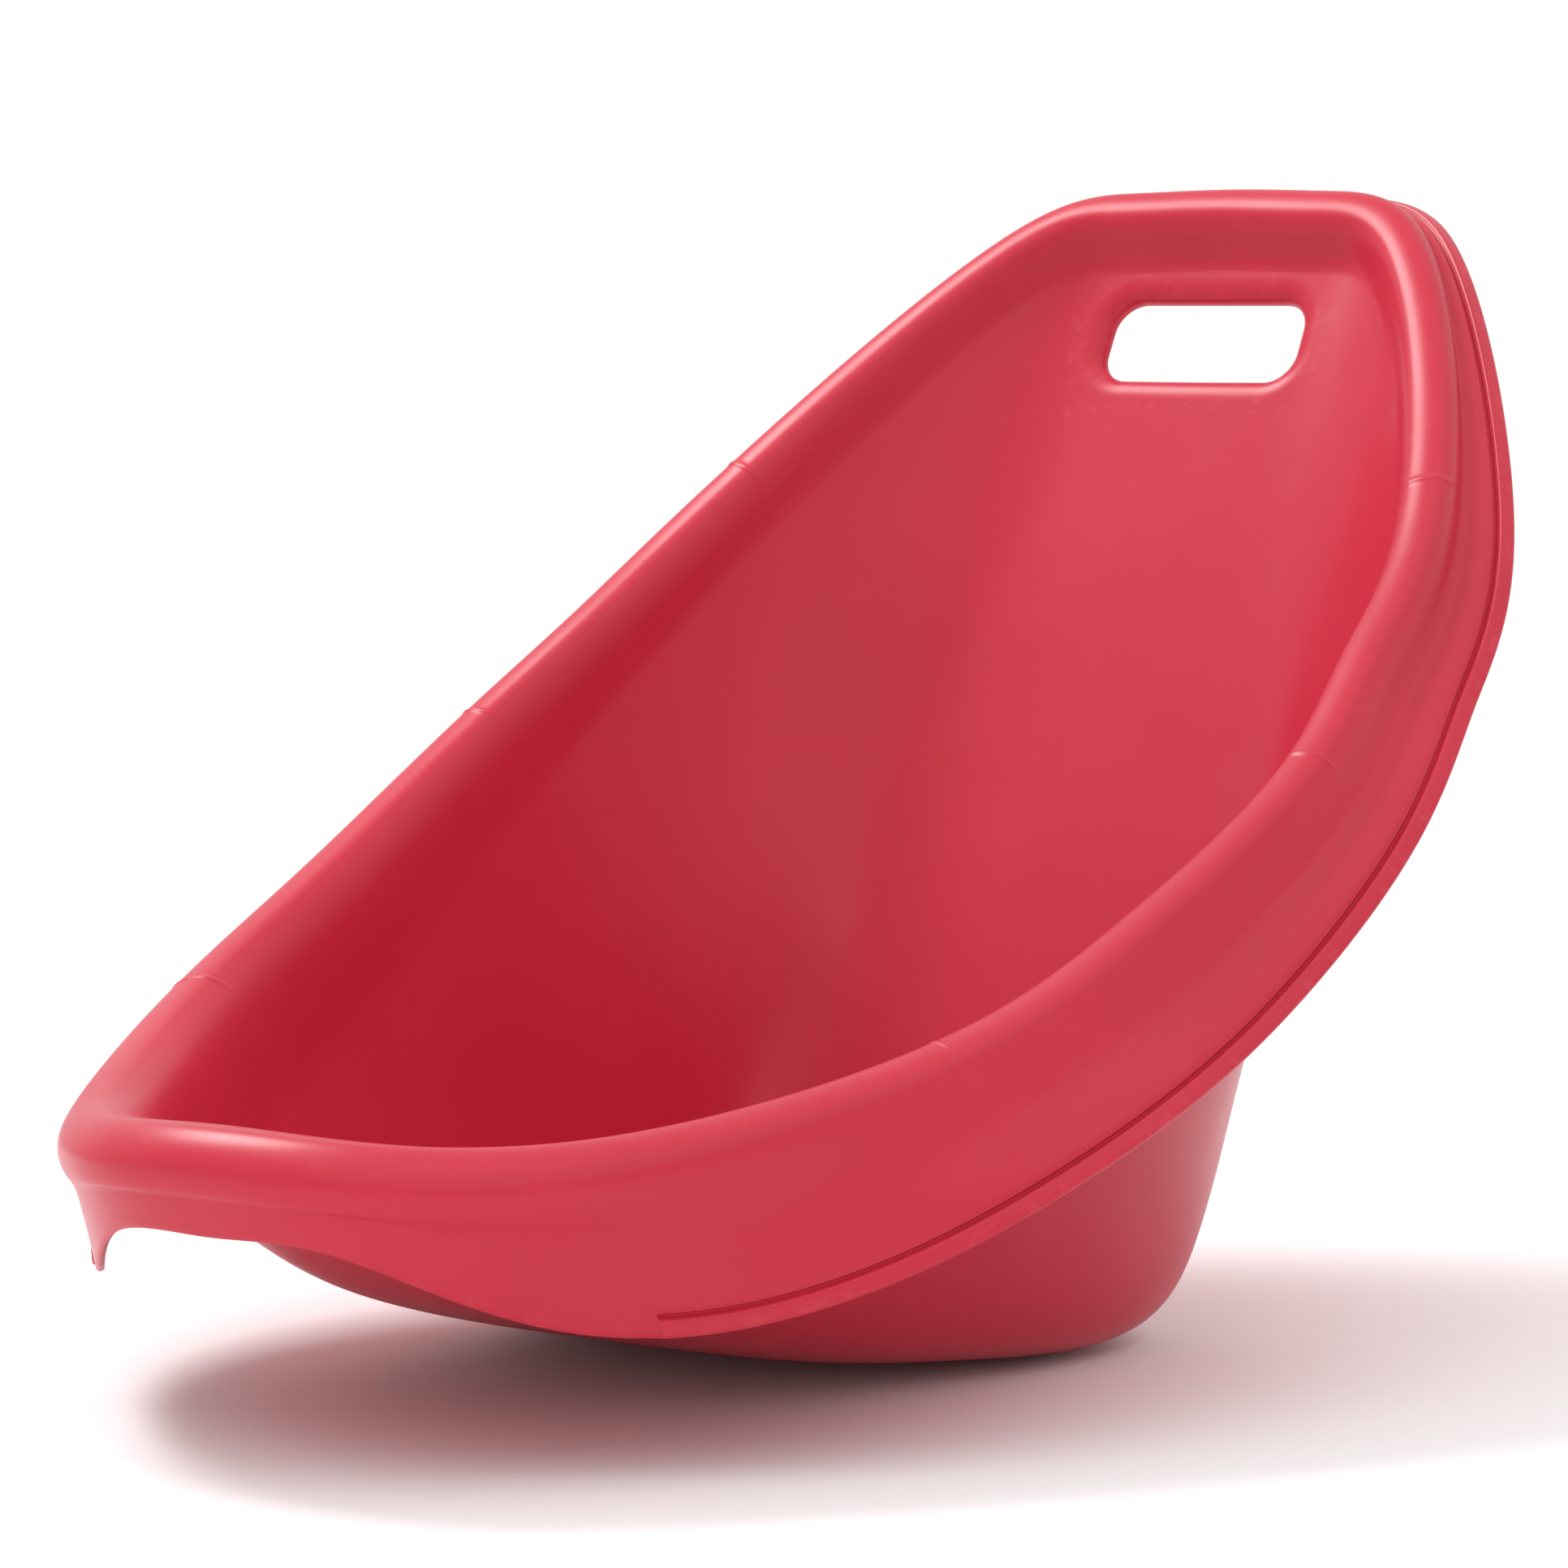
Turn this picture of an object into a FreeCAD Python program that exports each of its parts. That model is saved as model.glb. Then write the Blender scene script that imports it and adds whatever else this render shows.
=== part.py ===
import FreeCAD, Part
import bisect
import math
import os
from FreeCAD import Placement, Rotation, Vector

# Child's scoop rocker seat: one thin-walled moulding, drawn as named zones that meet face to face.
# Millimetres, +Z up, the sitter faces -Y.  Each zone is a wall of one thickness
# between a show face and a back face.

# ------------------------------------------------------------------ driving sizes
# Stations run along the rolled rim from the front centre to the top centre, one side only.
STATION_SIZES = ("half_width", "along", "height", "crest_radius", "brim_length",
                 "brim_flare", "valley_depth", "wall_start")
STATIONS = {
    "front":        (0, -303, -101, 13.0, 19, 20, 0.0, 0.95),
    "front_turn":   (45, -295, -103, 13.0, 20, 19, 0.0, 0.95),
    "front_corner": (102, -242, -103.5, 13.0, 48, 18, 0.0, 0.92),
    "fore_side":    (161, -125, -75.5, 11.0, 49, 41, 1.5, 0.80),
    "low_side":     (176, -42, -42, 10.0, 48, 45, 4.0, 0.67),
    "mid_side":     (182, 52, 5.5, 9.5, 40, 45, 5.0, 0.565),
    "high_side":    (173, 110, 42.5, 9.5, 36, 45, 5.0, 0.53),
    "shoulder":     (159, 173, 87, 10.0, 28.5, 45, 4.0, 0.58),
    "top_corner":   (80, 287, 193, 10.0, 17, 41, 1.5, 0.74),
    "top_turn":     (43, 297, 201, 11.0, 22, 47, 1.5, 0.8),
    "top":          (0, 298.5, 202, 11.0, 26, 50, 1.5, 0.84),
}
# Lengthwise line of the seat surface on the middle plane: along, height.
FLOOR_LINE = {
    "toe":       (-304, -128),
    "fore_foot": (-250, -155),
    "mid_foot":  (-176, -170),
    "fore_sole": (-88, -186),
    "sole":      (-20, -193.6),
    "seat":      (38, -196.6),
    "rear_seat": (84, -188.2),
    "seat_bend": (112, -166),
    "low_back":  (130, -138),
    "mid_back":  (147, -101),
    "back":      (206, 20),
    "slot_line": (275, 155),
    "head":      (296, 194),
}
GENERAL = {
    "wall_thickness": 3.0,
    "draw_angle": 48.0,
    "wall_corner": 0.07,
    "wall_steepen": 0.2,
    "groove_depth": 1.2,
    "lip_width": 8.0,
    "lip_step": 1.6,
    "slot_width": 87.0,
    "slot_height": 34.0,
    "slot_corner": 12.0,
    "slot_collar_wall": 2.5,
    "slot_collar_depth": 6.5,
    "slot_along": 275.0,
    "slot_up": 155.0,
    "back_slope": 62.0,
    "panel_front_half": 62.0,
    "panel_mid_half": 104.0,
    "panel_top_half": 74.0,
    "panel_front": -235.0,
    "panel_bend": -4.0,
    "panel_top": 262.0,
}

os.makedirs("parts", exist_ok=True)
doc = FreeCAD.newDocument("scoop_rocker_seat")
sheet = doc.addObject("Spreadsheet::Sheet", "Sizes")


def fill_sheet():
    """One row for each size: its name, its value and the alias that drives the model."""
    rows = dict(GENERAL)
    for station, values in STATIONS.items():
        for size, value in zip(STATION_SIZES, values):
            rows[station + "_" + size] = value
    for point, (along, height) in FLOOR_LINE.items():
        rows["floor_" + point + "_along"] = along
        rows["floor_" + point + "_height"] = height
    for row, (alias, value) in enumerate(rows.items(), start=1):
        sheet.set("A%d" % row, alias)
        sheet.set("B%d" % row, str(value))
        sheet.setAlias("B%d" % row, alias)
    doc.recompute()


def size(alias):
    return float(sheet.get(alias))


fill_sheet()
draw = math.radians(size("draw_angle"))
DRAW_AXIS = Vector(0, -math.cos(draw), math.sin(draw))
PLAN_AXIS = Vector(0, math.sin(draw), math.cos(draw))
thickness = size("wall_thickness")
# Section poles of the rolled crest, in crest radii, and of the brim: share of its length
# and share of the valley depth.
CREST_SHAPE = ((-1.22, -0.45), (-1.08, 0.3), (-0.85, 0.88), (0, 1.0), (0.75, 0.85), (1.05, 0.15))
BRIM_SHAPE = ((0.35, 0.9), (0.5, 1.0), (0.7, 0.25), (0.85, 0.0), (1.0, 0.0))
SECTION_ROWS = 27
CREST_ROWS = 14
BOWL_CENTRE = 10.0


# ------------------------------------------------------------------ smooth curves
def closed_curve(points, knots):
    """Smooth closed curve through the stations of one side and their mirror images."""
    mirrored = [Vector(-p.x, p.y, p.z) for p in points[-2:0:-1]]
    curve = Part.BSplineCurve()
    later = [2 * knots[-1] - knot for knot in knots[-2::-1]]
    curve.interpolate(Points=points + mirrored, PeriodicFlag=True, Parameters=knots + later)
    return curve


def station_vectors(names):
    return [Vector(*[size(station + "_" + name) for name in names])
            for station in STATIONS]


rim_points = station_vectors(("half_width", "along", "height"))
rim_knots = [0.0]
for first, second in zip(rim_points, rim_points[1:]):
    rim_knots.append(rim_knots[-1] + math.sqrt((second - first).Length))
rim_length = rim_knots[-1]
rim_curve = closed_curve(rim_points, rim_knots)
# Plain sizes ride in the Y and Z of three more curves.
crest_curve = closed_curve(station_vectors(("half_width", "crest_radius", "valley_depth")), rim_knots)
brim_curve = closed_curve(station_vectors(("half_width", "brim_length", "brim_flare")), rim_knots)
wall_curve = closed_curve(station_vectors(("half_width", "wall_start", "crest_radius")), rim_knots)


def rim_run(place):
    """Curve parameter of a place: 0 front centre, 1 top centre, negative on the far side."""
    return (place * rim_length) % (2 * rim_length)


# ------------------------------------------------------------------ rim and brim section
def rim_frame(place):
    """Crest centre, outward direction and up direction of the section at a place."""
    run = rim_run(place)
    centre = rim_curve.value(run)
    along = Vector(*rim_curve.tangent(run)[0])
    up = DRAW_AXIS - along * along.dot(DRAW_AXIS)
    up.normalize()
    out = along.cross(up)
    if out.dot(centre) < 0:
        out = -out
    return centre, out, up


def clamped_curve(poles):
    spans = len(poles) - 3
    curve = Part.BSplineCurve()
    knots = [i / spans for i in range(spans + 1)]
    mults = [4] + [1] * (spans - 1) + [4]
    curve.buildFromPolesMultsKnots(poles, mults, knots, False, 3)
    return curve


def brim_slope(place):
    flare = math.radians(brim_curve.value(rim_run(place)).z)
    return math.sin(flare), math.cos(flare)


def section_curve(place):
    """Section (outward in X, up in Y): inner edge, rolled crest, valley, brim to the groove."""
    crest = crest_curve.value(rim_run(place))
    radius, valley = crest.y, crest.z
    length = brim_curve.value(rim_run(place)).y - size("lip_width")
    slope_out, slope_down = brim_slope(place)
    poles = [Vector(radius * out, radius * up, 0) for out, up in CREST_SHAPE]
    for run, dip in BRIM_SHAPE:
        out = 0.75 * radius + length * run * slope_out - valley * dip * slope_down
        up = 0.3 * radius - length * run * slope_down - valley * dip * slope_out
        poles.append(Vector(out, up, 0))
    return clamped_curve(poles)


def rim_column(place):
    """Show face of rim and brim at one place, from the inner edge to the groove line."""
    centre, out, up = rim_frame(place)
    curve = section_curve(place)
    column = []
    for row in range(SECTION_ROWS):
        point = curve.value(row / (SECTION_ROWS - 1))
        column.append(centre + out * point.x + up * point.y)
    return column


def rim_back_column(place):
    """Back face of rim and brim, one wall thickness behind the show face."""
    small = 0.002
    before, after = rim_column(place - small), rim_column(place + small)
    centre, out, up = rim_frame(place)
    curve = section_curve(place)
    column = []
    for row, point in enumerate(rim_column(place)):
        across = Vector(*curve.tangent(row / (SECTION_ROWS - 1))[0])
        normal = (out * across.x + up * across.y).cross(after[row] - before[row])
        normal.normalize()
        outward = out * -across.y + up * across.x
        if normal.dot(outward) < 0:
            normal = -normal
        column.append(point - normal * thickness)
    return column


def brim_end(place):
    """Direction down the brim and direction out of its show face."""
    centre, out, up = rim_frame(place)
    slope_out, slope_down = brim_slope(place)
    down = out * slope_out - up * slope_down
    face = out * slope_down + up * slope_out
    return down, face


# ------------------------------------------------------------------ bowl
def plan_point(point):
    """Across and along position seen down the draw axis."""
    return point.x, point.dot(PLAN_AXIS)


floor_profile = Part.BSplineCurve()
floor_points = []
for name in FLOOR_LINE:
    point = Vector(0, size("floor_%s_along" % name), size("floor_%s_height" % name))
    floor_points.append(Vector(point.dot(PLAN_AXIS), point.dot(DRAW_AXIS), 0))
floor_profile.interpolate(Points=floor_points, Parameters=[point.x for point in floor_points])


def floor_height(run):
    first, last = floor_points[0].x, floor_points[-1].x
    inside = min(max(run, first), last)
    return floor_profile.value(inside).y


def ring_entry(place):
    """Angle, reach, height and wall start of the spoke that ends at a rim place."""
    point = rim_column(place)[0]
    across, run = plan_point(point)
    angle = math.atan2(across, BOWL_CENTRE - run)
    reach = math.hypot(across, run - BOWL_CENTRE)
    start = wall_curve.value(rim_run(place)).y
    lift = point.dot(DRAW_AXIS) - floor_height(run)
    return angle, reach, lift, start


ring = sorted(ring_entry(place / 360) for place in range(-360, 360))
ring = [(ring[-1][0] - 2 * math.pi,) + ring[-1][1:]] + ring
ring.append((ring[1][0] + 2 * math.pi,) + ring[1][1:])
ring_angles = [entry[0] for entry in ring]


def on_ring(angle):
    """Reach, height and wall start of the spoke at an angle."""
    i = min(max(bisect.bisect(ring_angles, angle), 1), len(ring) - 1)
    before, after = ring[i - 1], ring[i]
    share = (angle - before[0]) / (after[0] - before[0])
    return [a + (b - a) * share for a, b in zip(before[1:], after[1:])]


def wall_ramp(reach, start):
    """Level near the middle, a steady slope beyond the start, rounded between the two."""
    return math.hypot(reach - start, size("wall_corner")) + reach - start


def bowl_point(across, run):
    """Seat surface over a plan position: the floor line plus its rise toward the rim."""
    angle = math.atan2(across, BOWL_CENTRE - run)
    reach, lift, start = on_ring(angle)
    share = math.hypot(across, run - BOWL_CENTRE) / reach
    level = wall_ramp(0.0, start)
    rise = (wall_ramp(share, start) - level) / (wall_ramp(1.0, start) - level)
    steeper = rise + size("wall_steepen") * (rise ** 4 - rise)
    height = floor_height(run) + lift * steeper
    return Vector(across, 0, 0) + PLAN_AXIS * run + DRAW_AXIS * height


def bowl_back_point(across, run):
    small = 0.5
    along_x = bowl_point(across + small, run) - bowl_point(across - small, run)
    along_run = bowl_point(across, run + small) - bowl_point(across, run - small)
    normal = along_x.cross(along_run)
    normal.normalize()
    return bowl_point(across, run) - normal * thickness


# ------------------------------------------------------------------ solids
def surface(grid):
    """Cubic B-spline surface whose poles are the grid points."""
    counts = (len(grid), len(grid[0]))
    degrees = [min(3, count - 1) for count in counts]
    knots, mults = [], []
    for count, degree in zip(counts, degrees):
        spans = count - degree
        knots.append([i / spans for i in range(spans + 1)])
        mults.append([degree + 1] + [1] * (spans - 1) + [degree + 1])
    face = Part.BSplineSurface()
    face.buildFromPolesMultsKnots(grid, mults[0], mults[1], knots[0], knots[1],
                                  False, False, degrees[0], degrees[1])
    return face.toShape()


def wall_solid(show, back):
    """Solid between a show face and a back face with grids of the same size."""
    faces = [surface(show), surface(back)]
    for edge in (0, -1):
        faces.append(surface([show[edge], back[edge]]))
        faces.append(surface([[row[edge] for row in show], [row[edge] for row in back]]))
    shell = Part.Shell(faces)
    shell.sewShape()
    solid = Part.Solid(shell)
    if solid.Volume < 0:
        solid.reverse()
    return solid


def add_zone(label, shape):
    node = doc.addObject("Part::Feature", label)
    node.Label = label
    node.Shape = shape
    nodes.append(node)
    return node


def spaced(start, end, count):
    return [start + (end - start) * i / (count - 1) for i in range(count)]


nodes = []
# Places along the rim where the moulding changes: brim tips and moulded lines.
BRIM_TIP = 0.187
FORE_LINE = 0.296
SHOULDER_LINE = 0.728
FRONT_SHARE = 0.1005
TOP_SHARE = 0.84


def rim_places(start, end):
    return spaced(start, end, max(8, round(abs(end - start) * 44)))


def rim_zone(label, start, end, rows):
    """Wall that follows the rim between two places and keeps the given section rows."""
    show, back = [], []
    for place in rim_places(start, end):
        show.append(rim_column(place)[rows])
        back.append(rim_back_column(place)[rows])
    add_zone(label, wall_solid(show, back))


CREST = slice(0, CREST_ROWS)
BRIM = slice(CREST_ROWS - 1, SECTION_ROWS)


def front_brim_zone(label):
    """Brim of the front, with a plain bottom edge in place of the groove and lip."""
    show, back = [], []
    for place in rim_places(-BRIM_TIP, BRIM_TIP):
        down, _ = brim_end(place)
        for grid, column in ((show, rim_column(place)), (back, rim_back_column(place))):
            plain = [column[-1] + down * size("lip_width") * share for share in (0.5, 1.0)]
            grid.append(column[BRIM] + plain)
    add_zone(label, wall_solid(show, back))


def lip_zone(label, start, end):
    """Raised bead along the brim edge, with the groove that sets it off from the brim."""
    groove, step = -size("groove_depth"), size("lip_step")
    profile = ((0, 0), (0.02, groove), (0.14, groove), (0.2, 0.5 * step), (0.3, step),
               (0.6, step), (0.9, step), (1.0, 0.4 * step), (1.0, 0.0))
    show, back = [], []
    for place in rim_places(start, end):
        down, face = brim_end(place)
        width = down * size("lip_width")
        edge, back_edge = rim_column(place)[-1], rim_back_column(place)[-1]
        show.append([edge + width * run + face * lift for run, lift in profile])
        back.append([back_edge + width * run for run, lift in profile])
    add_zone(label, wall_solid(show, back))


def through_three(points, value):
    """Value at a position of the parabola through three points."""
    total = 0.0
    for i, (at, height) in enumerate(points):
        for j, (other, _) in enumerate(points):
            if i != j:
                height *= (value - other) / (at - other)
        total += height
    return total


def panel_half(run):
    """Half width of the middle panel: narrow at both ends and wide at the bend."""
    names = ("front", "bend", "top")
    halves = ("front_half", "mid_half", "top_half")
    points = [(size("panel_" + name), size("panel_" + half)) for name, half in zip(names, halves)]
    return through_three(points, run)


def panel_zone(label, start, end, rows):
    show, back = [], []
    for run in spaced(start, end, rows):
        line = [(share * panel_half(run), run) for share in spaced(-1, 1, END_COUNT)]
        show.append([bowl_point(*spot) for spot in line])
        back.append([bowl_back_point(*spot) for spot in line])
    add_zone(label, wall_solid(show, back))


def blended_wall(inner, places, rows):
    """Bowl wall from a plan line on the middle panel to the inner edge of the rim."""
    show, back = [], []
    for start, place in zip(inner, places):
        end = plan_point(rim_column(place)[0])
        line = []
        for share in spaced(0, 1, rows)[:-1]:
            line.append([a + (b - a) * share for a, b in zip(start, end)])
        show.append([bowl_point(*spot) for spot in line] + [rim_column(place)[0]])
        back.append([bowl_back_point(*spot) for spot in line] + [rim_back_column(place)[0]])
    return wall_solid(show, back)


END_COUNT = 19
SIDE_COUNT = 41


def end_line(run):
    return [(share * panel_half(run), run) for share in spaced(-1, 1, END_COUNT)]


def side_line(side):
    return [(side * panel_half(run), run)
            for run in spaced(size("panel_front"), size("panel_top"), SIDE_COUNT)]


def slot_placement():
    """Centre of the hand slot; its Z axis points out of the seat side of the back."""
    slot = Vector(0, size("slot_along"), size("slot_up"))
    centre = bowl_point(0.0, slot.dot(PLAN_AXIS))
    tilt = Rotation(Vector(1, 0, 0), size("back_slope"))
    return Placement(centre, tilt)


def slot_bar(label, grow, length_from, length_to):
    """Slot-shaped bar from two boxes and four corner cylinders, all driven by the sheet."""
    corner = "(Sizes.slot_corner + %s)" % grow
    length = "(Sizes.slot_width + 2 * %s)" % grow
    height = "(Sizes.slot_height + 2 * %s)" % grow
    depth = "(%s - (%s))" % (length_to, length_from)
    members = []
    for across, up in ((length, height + " - 2 * " + corner), (length + " - 2 * " + corner, height)):
        box = doc.addObject("Part::Box", label + "_bar")
        box.setExpression("Length", across)
        box.setExpression("Width", up)
        box.setExpression("Height", depth)
        box.setExpression("Placement.Base.x", "-(%s) / 2" % across)
        box.setExpression("Placement.Base.y", "-(%s) / 2" % up)
        box.setExpression("Placement.Base.z", length_from)
        members.append(box)
    for side in (-1, 1):
        for end in (-1, 1):
            post = doc.addObject("Part::Cylinder", label + "_corner")
            post.setExpression("Radius", corner)
            post.setExpression("Height", depth)
            post.setExpression("Placement.Base.x", "%d * (%s / 2 - %s)" % (side, length, corner))
            post.setExpression("Placement.Base.y", "%d * (%s / 2 - %s)" % (end, height, corner))
            post.setExpression("Placement.Base.z", length_from)
            members.append(post)
    fused = doc.addObject("Part::MultiFuse", label)
    fused.Shapes = members
    fused.Refine = True
    return fused


# Bowl zones
panel_zone("seat_floor", size("panel_front"), size("panel_bend"), 21)
panel_zone("back_panel", size("panel_bend"), size("panel_top"), 25)
front_places = spaced(-FRONT_SHARE, FRONT_SHARE, END_COUNT)
add_zone("front_apron", blended_wall(end_line(size("panel_front")), front_places, 11))
for side, label in ((1, "side_wall_left"), (-1, "side_wall_right")):
    side_places = spaced(side * FRONT_SHARE, side * TOP_SHARE, SIDE_COUNT)
    add_zone(label, blended_wall(side_line(side), side_places, 17))
top_places = spaced(-TOP_SHARE, TOP_SHARE - 2, END_COUNT)
hand_panel = blended_wall(end_line(size("panel_top")), top_places, 15)

# Hand slot and its collar
outer_bar = slot_bar("slot_outer", "Sizes.slot_collar_wall", "-Sizes.slot_collar_depth", "0.6")
hole_bar = slot_bar("slot_hole", "Sizes.slot_collar_wall", "-20", "20")
inner_bar = slot_bar("slot_inner", "0", "-Sizes.slot_collar_depth - 2", "3")
collar = doc.addObject("Part::Cut", "hand_slot_collar")
collar.Label = "hand_slot_collar"
collar.Base = outer_bar
collar.Tool = inner_bar
doc.recompute()
slot_place = slot_placement()
slot_cutter = hole_bar.Shape.copy()
slot_cutter.Placement = slot_place
add_zone("hand_panel", hand_panel.cut(slot_cutter))

# Rolled rim, brim and edge lip, split at the moulded lines
rim_zone("rim_front", -FORE_LINE, FORE_LINE, CREST)
front_brim_zone("brim_front")
rim_zone("rim_top", SHOULDER_LINE, 2 - SHOULDER_LINE, CREST)
rim_zone("brim_top", SHOULDER_LINE, 2 - SHOULDER_LINE, BRIM)
lip_zone("lip_top", SHOULDER_LINE, 2 - SHOULDER_LINE)
for side, end in ((1, "left"), (-1, "right")):
    rim_zone("rim_" + end, side * FORE_LINE, side * SHOULDER_LINE, CREST)
    rim_zone("brim_" + end, side * BRIM_TIP, side * SHOULDER_LINE, BRIM)
    lip_zone("lip_" + end, side * BRIM_TIP, side * SHOULDER_LINE)

# ------------------------------------------------------------------ place and export
doc.recompute()
collar.Placement = slot_place
doc.recompute()
nodes.append(collar)
whole = FreeCAD.BoundBox()
for node in nodes:
    whole.add(node.Shape.optimalBoundingBox(False, False))
move = Vector(0, -whole.Center.y, -whole.ZMin)
for node in nodes:
    if node is collar:
        node.Placement = Placement(move, Rotation()).multiply(slot_place)
    else:
        node.Placement = Placement(move, Rotation())
doc.recompute()

for thing in doc.Objects:
    if "Invalid" in thing.State or "Error" in thing.State:
        raise RuntimeError("bad state: " + thing.Label)
for node in nodes:
    if node.Shape.isNull() or not node.Shape.isValid():
        raise RuntimeError("bad shape: " + node.Label)
    node.Shape.exportStep("parts/" + node.Label + ".step")
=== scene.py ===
import math

import bpy
import numpy as np
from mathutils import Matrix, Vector


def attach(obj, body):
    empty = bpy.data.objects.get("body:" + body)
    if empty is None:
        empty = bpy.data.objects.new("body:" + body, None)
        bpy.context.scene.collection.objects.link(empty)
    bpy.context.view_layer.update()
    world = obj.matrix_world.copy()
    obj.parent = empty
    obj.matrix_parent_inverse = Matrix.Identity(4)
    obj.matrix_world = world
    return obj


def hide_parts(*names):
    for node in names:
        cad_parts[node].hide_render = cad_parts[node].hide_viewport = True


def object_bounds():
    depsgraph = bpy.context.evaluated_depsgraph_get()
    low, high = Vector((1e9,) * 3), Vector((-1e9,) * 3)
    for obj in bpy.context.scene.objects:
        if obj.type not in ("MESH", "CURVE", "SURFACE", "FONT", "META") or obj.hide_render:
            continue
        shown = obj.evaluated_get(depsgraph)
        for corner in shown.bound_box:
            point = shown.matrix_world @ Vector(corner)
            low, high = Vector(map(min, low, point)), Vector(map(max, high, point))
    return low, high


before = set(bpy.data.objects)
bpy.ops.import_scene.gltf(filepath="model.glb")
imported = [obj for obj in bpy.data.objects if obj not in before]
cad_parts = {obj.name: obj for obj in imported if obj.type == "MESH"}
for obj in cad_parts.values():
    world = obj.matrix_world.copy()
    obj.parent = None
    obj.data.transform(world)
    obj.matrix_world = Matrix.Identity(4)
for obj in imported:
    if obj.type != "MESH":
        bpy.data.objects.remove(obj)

# Child's scoop rocker seat: one thin red moulding.  The skin is worked out once as a single
# closed surface in millimetres, then shown as named pieces whose normals match at every seam.
CAD_LOW, CAD_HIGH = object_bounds()
MM = 0.001

# ------------------------------------------------------------------ sizes, as in the model
# Stations from the front centre to the top centre: half width, along, height, crest radius,
# brim length, brim flare, valley depth, wall start.
STATIONS = np.array([
    (0, -303, -101, 13.0, 19, 20, 0.0, 0.95),
    (45, -295, -103, 13.0, 20, 19, 0.0, 0.95),
    (102, -242, -103.5, 13.0, 48, 18, 0.0, 0.92),
    (161, -125, -75.5, 11.0, 49, 41, 1.5, 0.80),
    (176, -42, -42, 10.0, 48, 45, 4.0, 0.67),
    (182, 52, 5.5, 9.5, 40, 45, 5.0, 0.565),
    (173, 110, 42.5, 9.5, 36, 45, 5.0, 0.53),
    (159, 173, 87, 10.0, 28.5, 45, 4.0, 0.58),
    (80, 287, 193, 10.0, 17, 41, 1.5, 0.74),
    (43, 297, 201, 11.0, 22, 47, 1.5, 0.8),
    (0, 298.5, 202, 11.0, 26, 50, 1.5, 0.84),
], float)
# Lengthwise line of the seat surface on the middle plane: along, height.
FLOOR_LINE = np.array([
    (-304, -128), (-250, -155), (-176, -170), (-88, -186), (-20, -193.6), (38, -196.6),
    (84, -188.2), (112, -166), (130, -138), (147, -101), (206, 20), (275, 155), (296, 194),
], float)
# Poles of the rim's section: outward and up in crest radii, then shares of the brim's length and of
# the valley's depth, from the brim's root, which is also in crest radii.
CREST_SHAPE = ((-1.22, -0.45), (-1.08, 0.3), (-0.85, 0.88), (0, 1.0), (0.75, 0.85), (1.05, 0.15))
BRIM_SHAPE = ((0.35, 0.9), (0.5, 1.0), (0.7, 0.25), (0.85, 0.0), (1.0, 0.0))
BRIM_ROOT = (0.75, 0.3)
# The wall and the lip's step are 3.0 and 1.6 in the model.  They are less here, so that the skin with
# its witness lines needs hardly any scaling to stay inside the model's box.
WALL, CORNER, STEEPEN = 2.85, 0.07, 0.2
GROOVE, LIP_WIDTH, LIP_STEP = 1.2, 8.0, 1.35
SLOT_LENGTH, SLOT_HEIGHT, SLOT_CORNER = 87.0, 34.0, 12.0
COLLAR_WALL, COLLAR_DEPTH = 2.5, 6.5
SLOT_SPOT = np.array([0.0, 275.0, 155.0])
DRAW = math.radians(48)
BACK_SLOPE = math.radians(62)
UP = np.array([0.0, -math.cos(DRAW), math.sin(DRAW)])
PLAN = np.array([0.0, math.sin(DRAW), math.cos(DRAW)])
BOWL_CENTRE = 10.0
BRIM_TIP = 0.187
# Moulded witness lines over the rim: place, height in millimetres, and whether they cross the brim.
WITNESS_LINES = ((0.296, 0.35, True), (0.527, 0.45, False), (0.728, 0.45, False))
WITNESS_WIDTH = 0.0011

# How finely the skin is drawn.
RING_SAMPLES, HALF_COLUMNS = 1440, 221
WITNESS_SPAN, WITNESS_STEPS, TIP_STEP = 0.0036, 13, 0.0004
FIRST_SHARE, WALL_SHARE = 0.012, 0.6
FLOOR_ROWS, WALL_ROWS = 20, 44


# ------------------------------------------------------------------ smooth curves
def spline_moments(knots, values, closed):
    """Second derivatives of a cubic spline through the values."""
    count = len(values) - (1 if closed else 0)
    matrix = np.zeros((count, count))
    target = np.zeros((count,) + values.shape[1:])
    step = np.diff(knots)
    inner = range(count) if closed else range(1, count - 1)
    for i in inner:
        before, after = step[i - 1], step[i % len(step)]
        left, right = (i - 1) % count, (i + 1) % count
        matrix[i, left] += before
        matrix[i, i] += 2 * (before + after)
        matrix[i, right] += after
        forward = (values[(i + 1) % count] - values[i]) / after
        backward = (values[i] - values[left]) / before
        target[i] = 6 * (forward - backward)
    if not closed:
        matrix[0, 0] = matrix[-1, -1] = 1
    moments = np.linalg.solve(matrix, target)
    return np.concatenate([moments, moments[:1]]) if closed else moments


def spline_value(knots, values, moments, at):
    i = np.clip(np.searchsorted(knots, at, side="right") - 1, 0, len(knots) - 2)
    step = knots[i + 1] - knots[i]
    a = (knots[i + 1] - at) / step
    b = 1 - a
    if values.ndim > 1:
        a, b, step = a[:, None], b[:, None], step[:, None]
    bend = (a ** 3 - a) * moments[i] + (b ** 3 - b) * moments[i + 1]
    return a * values[i] + b * values[i + 1] + bend * step * step / 6


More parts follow.
